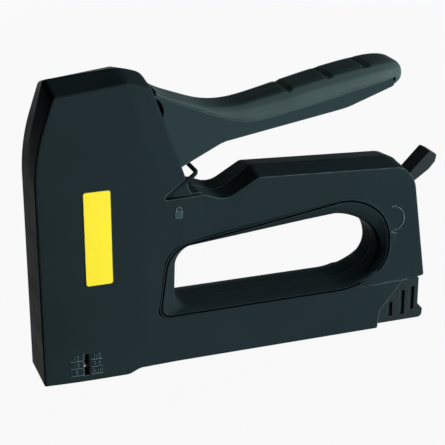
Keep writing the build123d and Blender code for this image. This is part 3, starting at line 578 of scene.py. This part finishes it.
class STAPLEGUN_OT_finish_handle(bpy.types.Operator):
    """Paint on the handle lever and grain on its palm pad"""

    bl_idname = "staple_gun.finish_handle"
    bl_label = "Finish handle"

    def execute(self, context):
        colours = context.scene.staple_gun.colours
        paint = satin_paint("lever_paint", shade(colours.housing, 1.6), colours.edge, rough=0.38)
        paint_nodes(paint, "handle_lever")
        bm = bmesh.new()
        bm.from_mesh(frame["nodes"]["handle_grip"].data)
        bmesh.ops.remove_doubles(bm, verts=bm.verts[:], dist=0.002 * MM)
        rubber = grained_rubber("palm_pad", colours.grip, rough=0.52)
        grip = add_piece("palm_grip", bm, rubber, "handle")
        skin = grip.modifiers.new("even_skin", "REMESH")
        skin.mode = "VOXEL"
        skin.voxel_size = context.scene.staple_gun.sizes.pad_skin
        skin.use_smooth_shade = True
        soften = grip.modifiers.new("soft_form", "SMOOTH")
        soften.factor = 0.5
        soften.iterations = 8
        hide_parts("handle_grip")
        return {"FINISHED"}


class STAPLEGUN_OT_finish_mouldings(bpy.types.Operator):
    """Moulded texture on the cap and power lever, coat on the latch wire"""

    bl_idname = "staple_gun.finish_mouldings"
    bl_label = "Finish mouldings"

    def execute(self, context):
        colours = context.scene.staple_gun.colours
        plastic = moulded_plastic("moulded_plastic", colours.moulding, rough=0.42)
        paint_nodes(plastic, "magazine_cap", "power_lever")
        coat = satin_paint("latch_coat", shade(colours.housing, 0.7), colours.edge, rough=0.34)
        paint_nodes(coat, "handle_latch")
        return {"FINISHED"}


class STAPLEGUN_OT_finish_steel(bpy.types.Operator):
    """Steel finishes on the drive line, the springs, the pins and the magazine"""

    bl_idname = "staple_gun.finish_steel"
    bl_label = "Finish steel"

    def execute(self, context):
        steel = context.scene.staple_gun.colours.steel
        hard = brushed_metal("hard_steel", steel, rough=0.34, stretch=(1.0, 1.0, 0.06))
        drawn = brushed_metal("rolled_steel", steel, rough=0.36, stretch=(0.05, 1.0, 1.0))
        plated = brushed_metal("plated_steel", shade(steel, 1.4), rough=0.26, stretch=(1.0, 0.08, 1.0))
        tempered = brushed_metal("tempered_steel", shade(steel, 0.55), rough=0.3, stretch=(0.06, 1.0, 1.0))
        paint_nodes(hard, "nose_plate", "hammer", "driver_blade")
        paint_nodes(drawn, "staple_channel", "magazine_core")
        paint_nodes(plated, "handle_pivot_pin", "fulcrum_pin", "power_lever_pin", "blade_rivets")
        paint_nodes(plated, "pusher_rod", "pusher")
        paint_nodes(tempered, "power_spring", "helper_spring", "catch_spring")
        return {"FINISHED"}


class STAPLEGUN_OT_add_screws(bpy.types.Operator):
    """Cross-recessed screws in the right shell"""

    bl_idname = "staple_gun.add_screws"
    bl_label = "Add housing screws"

    # Places along and up, in millimetres
    places = ((27.0, 130.8), (28.0, 47.0), (126.0, 79.8), (168.6, 44.0), (100.0, 21.0))
    head = 2.0 * MM
    crown = 0.45 * MM
    half_slot = 0.32 * MM
    # Shares of the head's radius
    border = 0.16
    cross = 0.66
    point = 0.50
    neck = 0.58

    def execute(self, context):
        settings = context.scene.staple_gun
        radius = settings.sizes.screw_head
        low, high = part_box("housing_screws")
        heads = []
        for x, z in self.places:
            screw = self.screw(radius, self.head, high.y - low.y, settings.sizes.screw_recess)
            # Each recess stops at its own angle, as driven screws do
            turn = Matrix.Rotation(math.radians(17.0 * x + 11.0 * z), 4, "Z")
            stand = Matrix.Translation((x * MM, high.y, z * MM)) @ Matrix.Rotation(-math.pi / 2, 4, "X")
            bmesh.ops.transform(screw, matrix=stand @ turn, verts=screw.verts[:])
            heads.append(screw)
        steel = shade(settings.colours.steel, 1.3)
        plated = brushed_metal("screw_steel", steel, rough=0.28, stretch=(1.0, 0.1, 1.0))
        piece = add_piece("cross_screws", joined(heads), plated, "housing")
        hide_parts("housing_screws")
        return {"FINISHED"}

    def screw(self, radius, head, length, recess):
        """One screw with its head's top at the origin, standing on its point."""
        bm = bmesh.new()
        made = bmesh.ops.create_cone(
            bm, cap_ends=True, segments=32, radius1=radius, radius2=radius, depth=head
        )
        bmesh.ops.translate(bm, verts=made["verts"], vec=(0, 0, -head / 2))
        top = [edge for edge in bm.edges if all(vert.co.z > -head / 2 for vert in edge.verts)]
        bmesh.ops.bevel(
            bm, geom=top, offset=self.crown, segments=4, affect="EDGES", profile=0.5, material=-1
        )
        bmesh.ops.inset_region(bm, faces=self.level(bm), thickness=radius * self.border)
        for turn in (0.0, math.pi / 2):
            across = (math.cos(turn), math.sin(turn), 0)
            for offset in (-self.half_slot, self.half_slot):
                bmesh.ops.bisect_plane(
                    bm, geom=self.around(self.level(bm)), plane_co=Vector(across) * offset, plane_no=across,
                    dist=CUT_SNAP
                )
        floor = []
        for face in self.level(bm):
            middle = face.calc_center_median()
            slot = min(abs(middle.x), abs(middle.y)) < self.half_slot
            if slot and middle.length < radius * self.cross:
                floor.append(face)
        deep = bmesh.ops.extrude_face_region(bm, geom=floor)
        sunk = [item for item in deep["geom"] if isinstance(item, bmesh.types.BMVert)]
        bmesh.ops.translate(bm, verts=sunk, vec=(0, 0, -recess))
        bmesh.ops.delete(bm, geom=floor, context="FACES_KEEP_BOUNDARY")
        shank = bmesh.ops.create_cone(
            bm, cap_ends=True, segments=20, radius1=radius * self.point, radius2=radius * self.neck,
            depth=length - head
        )
        bmesh.ops.translate(bm, verts=shank["verts"], vec=(0, 0, -(length + head) / 2))
        bmesh.ops.recalc_face_normals(bm, faces=bm.faces[:])
        return bm

    def level(self, bm):
        """Faces that look straight up."""
        return [face for face in bm.faces if face.normal.z > 0.99]

    def around(self, faces):
        """Faces with their edges and corners."""
        edges = dict.fromkeys(edge for face in faces for edge in face.edges)
        verts = dict.fromkeys(vert for face in faces for vert in face.verts)
        return [*faces, *edges, *verts]


class STAPLEGUN_OT_add_springs(bpy.types.Operator):
    """Wound pusher spring in the magazine and wound return spring on the handle's pin"""

    bl_idname = "staple_gun.add_springs"
    bl_label = "Add wound springs"

    def execute(self, context):
        settings = context.scene.staple_gun
        wire = settings.sizes.spring_wire
        steel = shade(settings.colours.steel, 0.6)
        tempered = brushed_metal("wound_steel", steel, rough=0.28, stretch=(1.0, 1.0, 1.0))
        pitch = 2.6 * MM
        low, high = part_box("pusher_spring")
        middle = (low + high) / 2
        run = high.x - low.x - 2 * wire
        bm = bmesh.new()
        coil(
            bm, (low.x + wire, middle.y, middle.z), (run, 0, 0), (high.y - low.y) / 2 - wire, wire,
            turns=round(run / pitch), steps=16
        )
        pusher = add_piece("wound_pusher_spring", bm, tempered, body_of("pusher_spring"))
        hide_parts("pusher_spring")
        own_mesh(pusher)
        low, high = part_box("handle_return_spring")
        middle = (low + high) / 2
        thick = 0.6 * MM
        hub = 5.4 * MM
        reach = 2.0 * MM
        bm = bmesh.new()
        for side in (-1, 1):
            start = (middle.x, side * (hub + thick), middle.z)
            radius = (high.x - low.x) / 2 - thick
            coil(bm, start, (0, side * reach, 0), radius, thick, turns=2, steps=24)
        carrier = body_of("handle_return_spring")
        wound = add_piece("wound_return_spring", bm, tempered, carrier)
        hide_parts("handle_return_spring")
        return {"FINISHED"}


class STAPLEGUN_OT_add_bumper(bpy.types.Operator):
    """Rubber bumper with soft edges under the hammer"""

    bl_idname = "staple_gun.add_bumper"
    bl_label = "Add bumper"

    def execute(self, context):
        colours = context.scene.staple_gun.colours
        low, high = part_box("hammer_bumper")
        bm = bmesh.new()
        made = bmesh.ops.create_cube(bm, size=1.0)
        place = Matrix.Translation((low + high) / 2) @ Matrix.Diagonal((*(high - low), 1.0))
        bmesh.ops.transform(bm, matrix=place, verts=made["verts"])
        bmesh.ops.bevel(
            bm, geom=bm.edges[:], offset=0.5 * MM, segments=3, affect="EDGES", profile=0.5, material=-1
        )
        rubber = grained_rubber("bumper_rubber", shade(colours.grip, 1.2), rough=0.7)
        piece = add_piece("rubber_bumper", bm, rubber, body_of("hammer_bumper"))
        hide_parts("hammer_bumper")
        return {"FINISHED"}


class STAPLEGUN_OT_add_label(bpy.types.Operator):
    """Plain bright label on the left side, in a dark seat"""

    bl_idname = "staple_gun.add_label"
    bl_label = "Add label"

    def execute(self, context):
        settings = context.scene.staple_gun
        sizes = settings.sizes
        middle = sizes.label_place
        rim = 0.8 * MM
        corner = 1.1 * MM
        root = 0.15 * MM
        seat = moulded_plastic("label_seat", shade(settings.colours.grip, 0.35), rough=0.45)
        film = label_film("label_film", settings.colours.label)
        for name, grow, proud, material in (
            ("label_seat", rim, 0.12 * MM, seat),
            ("side_label", 0.0, sizes.label_proud, film),
        ):
            bm = bmesh.new()
            width = sizes.label_width + grow
            flat_plate(bm, middle, width, sizes.label_height + grow, corner + grow / 2, steps=6)
            cut_columns(bm, middle[0] - width / 2, middle[0] + width / 2, count=8)
            raise_on(bm, "left_shell", root, proud)
            piece = add_piece(name, bm, material, "housing")
            round_rims(piece, width=0.08 * MM)
        return {"FINISHED"}


class STAPLEGUN_OT_add_legend(bpy.types.Operator):
    """Cast lines and plain staple lengths on both sides of the window, painted lighter than the housing as a
    highlight on the raised marks
    """

    bl_idname = "staple_gun.add_legend"
    bl_label = "Add window legend"

    def execute(self, context):
        sizes = context.scene.staple_gun.sizes
        colours = context.scene.staple_gun.colours
        # The marks are painted three times lighter than the housing, as a painted highlight on the raised
        # marks.
        paint = satin_paint("legend_highlight_paint", shade(colours.housing, 3.0), colours.edge, rough=0.36)
        window = 13.2 * MM
        gap = 1.9 * MM
        reach = 7.4 * MM
        top_line = 10.4
        line_pitch = 3.55
        stroke = 0.5 * MM
        lift = 0.65 * MM
        lines = bmesh.new()
        parts = [lines]
        for side, words in ((-1, ("12", "10", "8")), (1, ("1/2", "3/8", "5/16"))):
            near = window + side * gap
            far = window + side * reach
            for index, word in enumerate(words):
                base = (top_line - line_pitch * index) * MM
                flat_bar(lines, (min(near, far), base), (max(near, far), base), stroke)
                parts.append(flat_text(word, ((near + far) / 2, base + lift), sizes.legend_height))
        cut_columns(lines, window - reach, window + reach, count=12)
        whole = joined(parts)
        raise_on(whole, "left_shell", CAST_SINK, sizes.cast_proud)
        add_piece("window_legend", whole, paint, "housing")
        return {"FINISHED"}


class STAPLEGUN_OT_add_signs(bpy.types.Operator):
    """Cast padlock sign under the latch and turning arrow under the power lever, painted lighter than the
    housing as a highlight on the raised marks
    """

    bl_idname = "staple_gun.add_signs"
    bl_label = "Add cast signs"

    def execute(self, context):
        colours = context.scene.staple_gun.colours
        proud = context.scene.staple_gun.sizes.cast_proud
        # The signs are painted lighter than the housing, as a painted highlight on the raised marks.
        paint = satin_paint("sign_highlight_paint", shade(colours.housing, 2.4), colours.edge, rough=0.36)
        lock = bmesh.new()
        shackle = 0.65 * MM
        flat_plate(
            lock, (57.1 * MM, 73.6 * MM), width=3.7 * MM, height=3.6 * MM, radius=0.5 * MM, steps=3
        )
        flat_arc(lock, (57.1 * MM, 75.9 * MM), 1.15 * MM, shackle, start=0.0, sweep=math.pi, steps=12)
        for leg in (55.95 * MM, 58.25 * MM):
            flat_bar(lock, (leg, 75.2 * MM), (leg, 76.0 * MM), shackle)
        raise_on(lock, "left_shell", CAST_SINK, proud)
        add_piece("padlock_sign", lock, paint, "housing")
        arrow = bmesh.new()
        middle = (161.2 * MM, 57.0 * MM)
        stroke = 0.6 * MM
        start, sweep = math.radians(-72), math.radians(140)
        flat_arc(arrow, middle, 6.2 * MM, stroke, start, sweep, steps=20)
        tip = (161.0 * MM, 50.4 * MM)
        flat_bar(arrow, tip, (163.6 * MM, 52.3 * MM), stroke)
        flat_bar(arrow, tip, (163.9 * MM, 49.6 * MM), stroke)
        flat_bar(arrow, (160.6 * MM, 63.2 * MM), (163.2 * MM, 63.4 * MM), stroke)
        raise_on(arrow, "left_shell", CAST_SINK, proud)
        add_piece("power_sign", arrow, paint, "housing")
        return {"FINISHED"}


class STAPLEGUN_OT_add_rim_line(bpy.types.Operator):
    """Rounded lip round the hand opening on both sides, with a painted shadow line along the rim's step and a
    painted highlight line beside it
    """

    bl_idname = "staple_gun.add_rim_line"
    bl_label = "Add rim line"

    # Corners and radii of the clear hole, of its rim and of the brim that lies on the wall, in millimetres
    clear = ((55.9, 26.4), (56.9, 56.2), (145.3, 62.9), (157.7, 46.0), (154.8, 32.5), (141.0, 26.4))
    clear_radii = (6.5, 10.0, 25.0, 15.0, 13.5, 36.0)
    rim = ((48.4, 25.7), (52.8, 57.2), (148.0, 70.0), (163.2, 49.0), (157.6, 34.0), (146.0, 25.6))
    rim_radii = (4.0, 12.0, 22.0, 23.0, 12.0, 32.0)
    brim_radii = (3.0, 10.0, 14.0, 9.0, 8.0, 8.0)
    # Middle of the opening, and how the lip lies on the wall, turns at the rim and ends at the seam
    middle = (0.104, 0.0, 0.046)
    inset = 0.15 * MM
    brim = 1.4 * MM
    lift = 0.03 * MM
    root = 0.2 * MM
    depth = 9.0 * MM
    seam = 0.05 * MM
    back = 0.6 * MM
    throat_radius = 1.6 * MM
    crisp = math.radians(30)

    def execute(self, context):
        settings = context.scene.staple_gun
        colour = settings.colours.housing
        width = settings.sizes.rim_shadow_line
        # The dark line is a painted shadow of the rim's step, and the lighter line outside it a painted
        # highlight.
        dark = satin_paint("rim_shadow", shade(colour, 0.02), shade(colour, 0.03), rough=0.7)
        bright = satin_paint("rim_highlight_line", shade(colour, 1.7), shade(colour, 2.2), rough=0.36)
        paint = satin_paint("lip_paint", colour, shade(colour, 1.05), rough=0.33, soft=1.5 * MM)
        gap = 0.1 * MM
        for name, side in (("left", -1), ("right", 1)):
            add_piece("opening_lip_" + name, self.lip(side), paint, "housing")
            for kind, material, start, stroke in (
                ("rim_shadow_line", dark, gap, width),
                ("rim_highlight_line", bright, gap + width, width / 2),
            ):
                line = self.line(side, start, start + stroke)
                add_piece(kind + "_" + name, line, material, "housing")
        return {"FINISHED"}

    def lip(self, side):
        """Half of the opening's skin, from the wall round the rim to the seam between the shells."""
        bm = bmesh.new()
        self.skin(bm, (
            lambda: self.on_wall(bm, side, self.brim_radii, self.brim, -self.root),
            lambda: self.on_wall(bm, side, self.brim_radii, self.brim, self.lift),
            lambda: self.on_wall(bm, side, self.rim_radii, -self.inset, self.lift),
            lambda: self.inside(bm, side * self.depth, -self.inset),
            lambda: self.inside(bm, side * self.seam, -self.inset),
            lambda: self.inside(bm, side * self.seam, self.back),
        ))
        deep = {vert for vert in bm.verts if abs(abs(vert.co.y) - self.depth) < 0.01 * MM}
        throat = [edge for edge in bm.edges if deep.issuperset(edge.verts)]
        bmesh.ops.bevel(
            bm, geom=throat, offset=self.throat_radius, segments=4, affect="EDGES", profile=0.5, material=-1
        )
        for face in bm.faces:
            face.smooth = True
        for edge in bm.edges:
            edge.smooth = edge.calc_face_angle() < self.crisp
        return bm

    def line(self, side, near, far):
        """Thin band on the wall round the rim, between two distances from it."""
        root, top = -0.05 * MM, 0.07 * MM
        bm = bmesh.new()
        self.skin(bm, (
            lambda: self.on_wall(bm, side, self.rim_radii, near, root),
            lambda: self.on_wall(bm, side, self.rim_radii, near, top),
            lambda: self.on_wall(bm, side, self.rim_radii, far, top),
            lambda: self.on_wall(bm, side, self.rim_radii, far, root),
        ))
        return bm

    def on_wall(self, bm, side, radii, grow, proud):
        """Ring along the rim on the housing's outer wall, raised off it."""
        ring = outline_ring(bm, self.rim, radii, grow)
        wall = frame["nodes"]["left_shell"]
        middle = Vector(self.middle)
        beside_rim = 4.5 * MM
        for vert in {vert for edge in ring for vert in edge.verts}:
            # The wall is measured a little outside the rim, where no bevel cuts it
            out = Vector((vert.co.x, 0, vert.co.z)) - middle
            start = middle + out * (1 + beside_rim / out.length)
            outside = start - Vector((0, CLEAR_OF_WALL, 0))
            hit, place, normal, index = wall.ray_cast(outside, Vector((0, 1, 0)))
            if not hit:
                raise RuntimeError("the rim lies off the housing's wall")
            vert.co.y = side * (abs(place.y) + proud)
        return ring

    def inside(self, bm, depth, grow):
        """Ring along the clear hole at a depth."""
        ring = outline_ring(bm, self.clear, self.clear_radii, grow)
        for vert in {vert for edge in ring for vert in edge.verts}:
            vert.co.y = depth
        return ring

    def skin(self, bm, rings):
        """Closed skin through rings, each pair bridged apart and then merged."""
        for first, second in zip(rings, rings[1:] + rings[:1]):
            bmesh.ops.bridge_loops(bm, edges=first() + second())
        bmesh.ops.remove_doubles(bm, verts=bm.verts[:], dist=0.001 * MM)
        bmesh.ops.recalc_face_normals(bm, faces=bm.faces[:])


class STAPLEGUN_OT_set_stage(bpy.types.Operator):
    """White floor, studio lamps, dim surround and the camera"""

    bl_idname = "staple_gun.set_stage"
    bl_label = "Set stage"

    def execute(self, context):
        scene = context.scene
        scene.view_settings.view_transform = "Standard"
        self.floor(scene)
        self.surround(scene)
        self.lamps(scene)
        self.camera(scene)
        return {"FINISHED"}

    def floor(self, scene):
        """Floor that is white to the camera and in reflections, with a faint shadow."""
        bm = bmesh.new()
        bmesh.ops.create_grid(bm, x_segments=1, y_segments=1, size=4.0)
        under = 0.05 * MM
        bmesh.ops.translate(bm, verts=bm.verts[:], vec=(0, 0, CAD_BOX[0][2] - under))
        mesh = bpy.data.meshes.new("floor")
        bm.to_mesh(mesh)
        bm.free()
        material = bpy.data.materials.new("studio_floor")
        material.use_nodes = True
        tree = material.node_tree
        tree.nodes.clear()
        output = tree.nodes.new("ShaderNodeOutputMaterial")
        paper = tree.nodes.new("ShaderNodeBsdfDiffuse")
        paper.inputs["Color"].default_value = (0.10, 0.10, 0.10, 1.0)
        glow = tree.nodes.new("ShaderNodeEmission")
        glow.inputs["Color"].default_value = (1.0, 1.0, 1.0, 1.0)
        glow.inputs["Strength"].default_value = 1.0
        seen = tree.nodes.new("ShaderNodeLightPath")
        share = spread(tree, seen.outputs["Is Camera Ray"], 0.0, 1.0, out_low=0.0, out_high=0.94)
        for ray in ("Is Glossy Ray", "Is Transmission Ray"):
            either = tree.nodes.new("ShaderNodeMath")
            either.operation = "MAXIMUM"
            tree.links.new(share, either.inputs[0])
            tree.links.new(seen.outputs[ray], either.inputs[1])
            share = either.outputs["Value"]
        blend = tree.nodes.new("ShaderNodeMixShader")
        tree.links.new(share, blend.inputs["Fac"])
        tree.links.new(paper.outputs["BSDF"], blend.inputs[1])
        tree.links.new(glow.outputs["Emission"], blend.inputs[2])
        tree.links.new(blend.outputs["Shader"], output.inputs["Surface"])
        mesh.materials.append(material)
        floor = bpy.data.objects.new("studio_floor", mesh)
        scene.collection.objects.link(floor)

    def surround(self, scene):
        """Dim surround, a little brighter near the floor than overhead."""
        world = bpy.data.worlds.new("studio")
        world.use_nodes = True
        tree = world.node_tree
        tree.nodes.clear()
        output = tree.nodes.new("ShaderNodeOutputWorld")
        back = tree.nodes.new("ShaderNodeBackground")
        back.inputs["Color"].default_value = (1.0, 1.0, 1.0, 1.0)
        way = tree.nodes.new("ShaderNodeTexCoord").outputs["Generated"]
        parts = tree.nodes.new("ShaderNodeSeparateXYZ")
        tree.links.new(way, parts.inputs["Vector"])
        strength = spread(tree, parts.outputs["Z"], low=0.17, high=0.30, out_low=0.05, out_high=0.01)
        tree.links.new(strength, back.inputs["Strength"])
        tree.links.new(back.outputs["Background"], output.inputs["Surface"])
        scene.world = world

    def lamps(self, scene):
        """Key on the rear left side, two small lamps over the edges, and two lamps that fill the far side."""
        target = Vector((0.08, 0.0, 0.07))
        for name, place, size, power in (
            ("key_lamp", (1.00, -1.05, 0.10), 0.5, 58.0),
            ("rear_lamp", (0.36, -0.16, 0.42), 0.12, 0.2),
            ("edge_lamp", (0.37, -0.27, 0.91), 0.12, 0.4),
            ("far_lamp", (0.95, 0.75, 0.30), 0.6, 8.0),
            ("side_lamp", (0.06, 1.20, 0.18), 0.6, 22.0),
        ):
            light = bpy.data.lights.new(name, "AREA")
            light.shape = "SQUARE"
            light.size = size
            light.energy = power
            lamp = bpy.data.objects.new(name, light)
            lamp.location = place
            lamp.rotation_euler = (target - Vector(place)).to_track_quat("-Z", "Y").to_euler()
            # The far side's lamps would give grey grazing reflections, so they are kept out of them
            lamp.visible_glossy = place[1] < 0
            scene.collection.objects.link(lamp)

    def camera(self, scene):
        """Camera at the photograph's angle."""
        target = Vector((0.08225, 0.0, 0.0613))
        distance = 0.6435
        azimuth = math.radians(-19.8)
        elevation = math.radians(22.0)
        level = math.cos(elevation)
        away = Vector((math.sin(azimuth) * level, -math.cos(azimuth) * level, math.sin(elevation)))
        lens = bpy.data.cameras.new("photo_camera")
        lens.sensor_width = 36.0
        lens.lens = 114.9
        lens.clip_start = 0.01
        holder = bpy.data.objects.new("photo_camera", lens)
        holder.location = target + away * distance
        holder.rotation_euler = (-away).to_track_quat("-Z", "Y").to_euler()
        scene.collection.objects.link(holder)
        scene.camera = holder


class STAPLEGUN_PT_pieces(bpy.types.Panel):
    """Lists the steps that dress the tool"""

    bl_idname = "STAPLEGUN_PT_pieces"
    bl_label = "Staple gun"
    bl_space_type = "VIEW_3D"
    bl_region_type = "UI"
    bl_category = "Staple gun"

    def draw(self, context):
        settings = context.scene.staple_gun
        column = self.layout.column()
        for operator in OPERATORS:
            column.operator(operator.bl_idname)
        for group in (settings.sizes, settings.colours):
            for name in group.__annotations__:
                column.prop(group, name)


OPERATORS = (
    STAPLEGUN_OT_paint_housing,
    STAPLEGUN_OT_finish_handle,
    STAPLEGUN_OT_finish_mouldings,
    STAPLEGUN_OT_finish_steel,
    STAPLEGUN_OT_add_screws,
    STAPLEGUN_OT_add_springs,
    STAPLEGUN_OT_add_bumper,
    STAPLEGUN_OT_add_label,
    STAPLEGUN_OT_add_legend,
    STAPLEGUN_OT_add_signs,
    STAPLEGUN_OT_add_rim_line,
    STAPLEGUN_OT_set_stage,
)
CLASSES = (StapleGunSizes, StapleGunColours, StapleGunSettings, *OPERATORS, STAPLEGUN_PT_pieces)


def register():
    for cls in CLASSES:
        bpy.utils.register_class(cls)
    bpy.types.Scene.staple_gun = bpy.props.PointerProperty(type=StapleGunSettings)


def unregister():
    del bpy.types.Scene.staple_gun
    for cls in reversed(CLASSES):
        bpy.utils.unregister_class(cls)


def main():
    register()
    bpy.ops.staple_gun.paint_housing()
    bpy.ops.staple_gun.finish_handle()
    bpy.ops.staple_gun.finish_mouldings()
    bpy.ops.staple_gun.finish_steel()
    bpy.ops.staple_gun.add_screws()
    bpy.ops.staple_gun.add_springs()
    bpy.ops.staple_gun.add_bumper()
    bpy.ops.staple_gun.add_label()
    bpy.ops.staple_gun.add_legend()
    bpy.ops.staple_gun.add_signs()
    bpy.ops.staple_gun.add_rim_line()
    bpy.ops.staple_gun.set_stage()


if __name__ == "__main__":
    main()
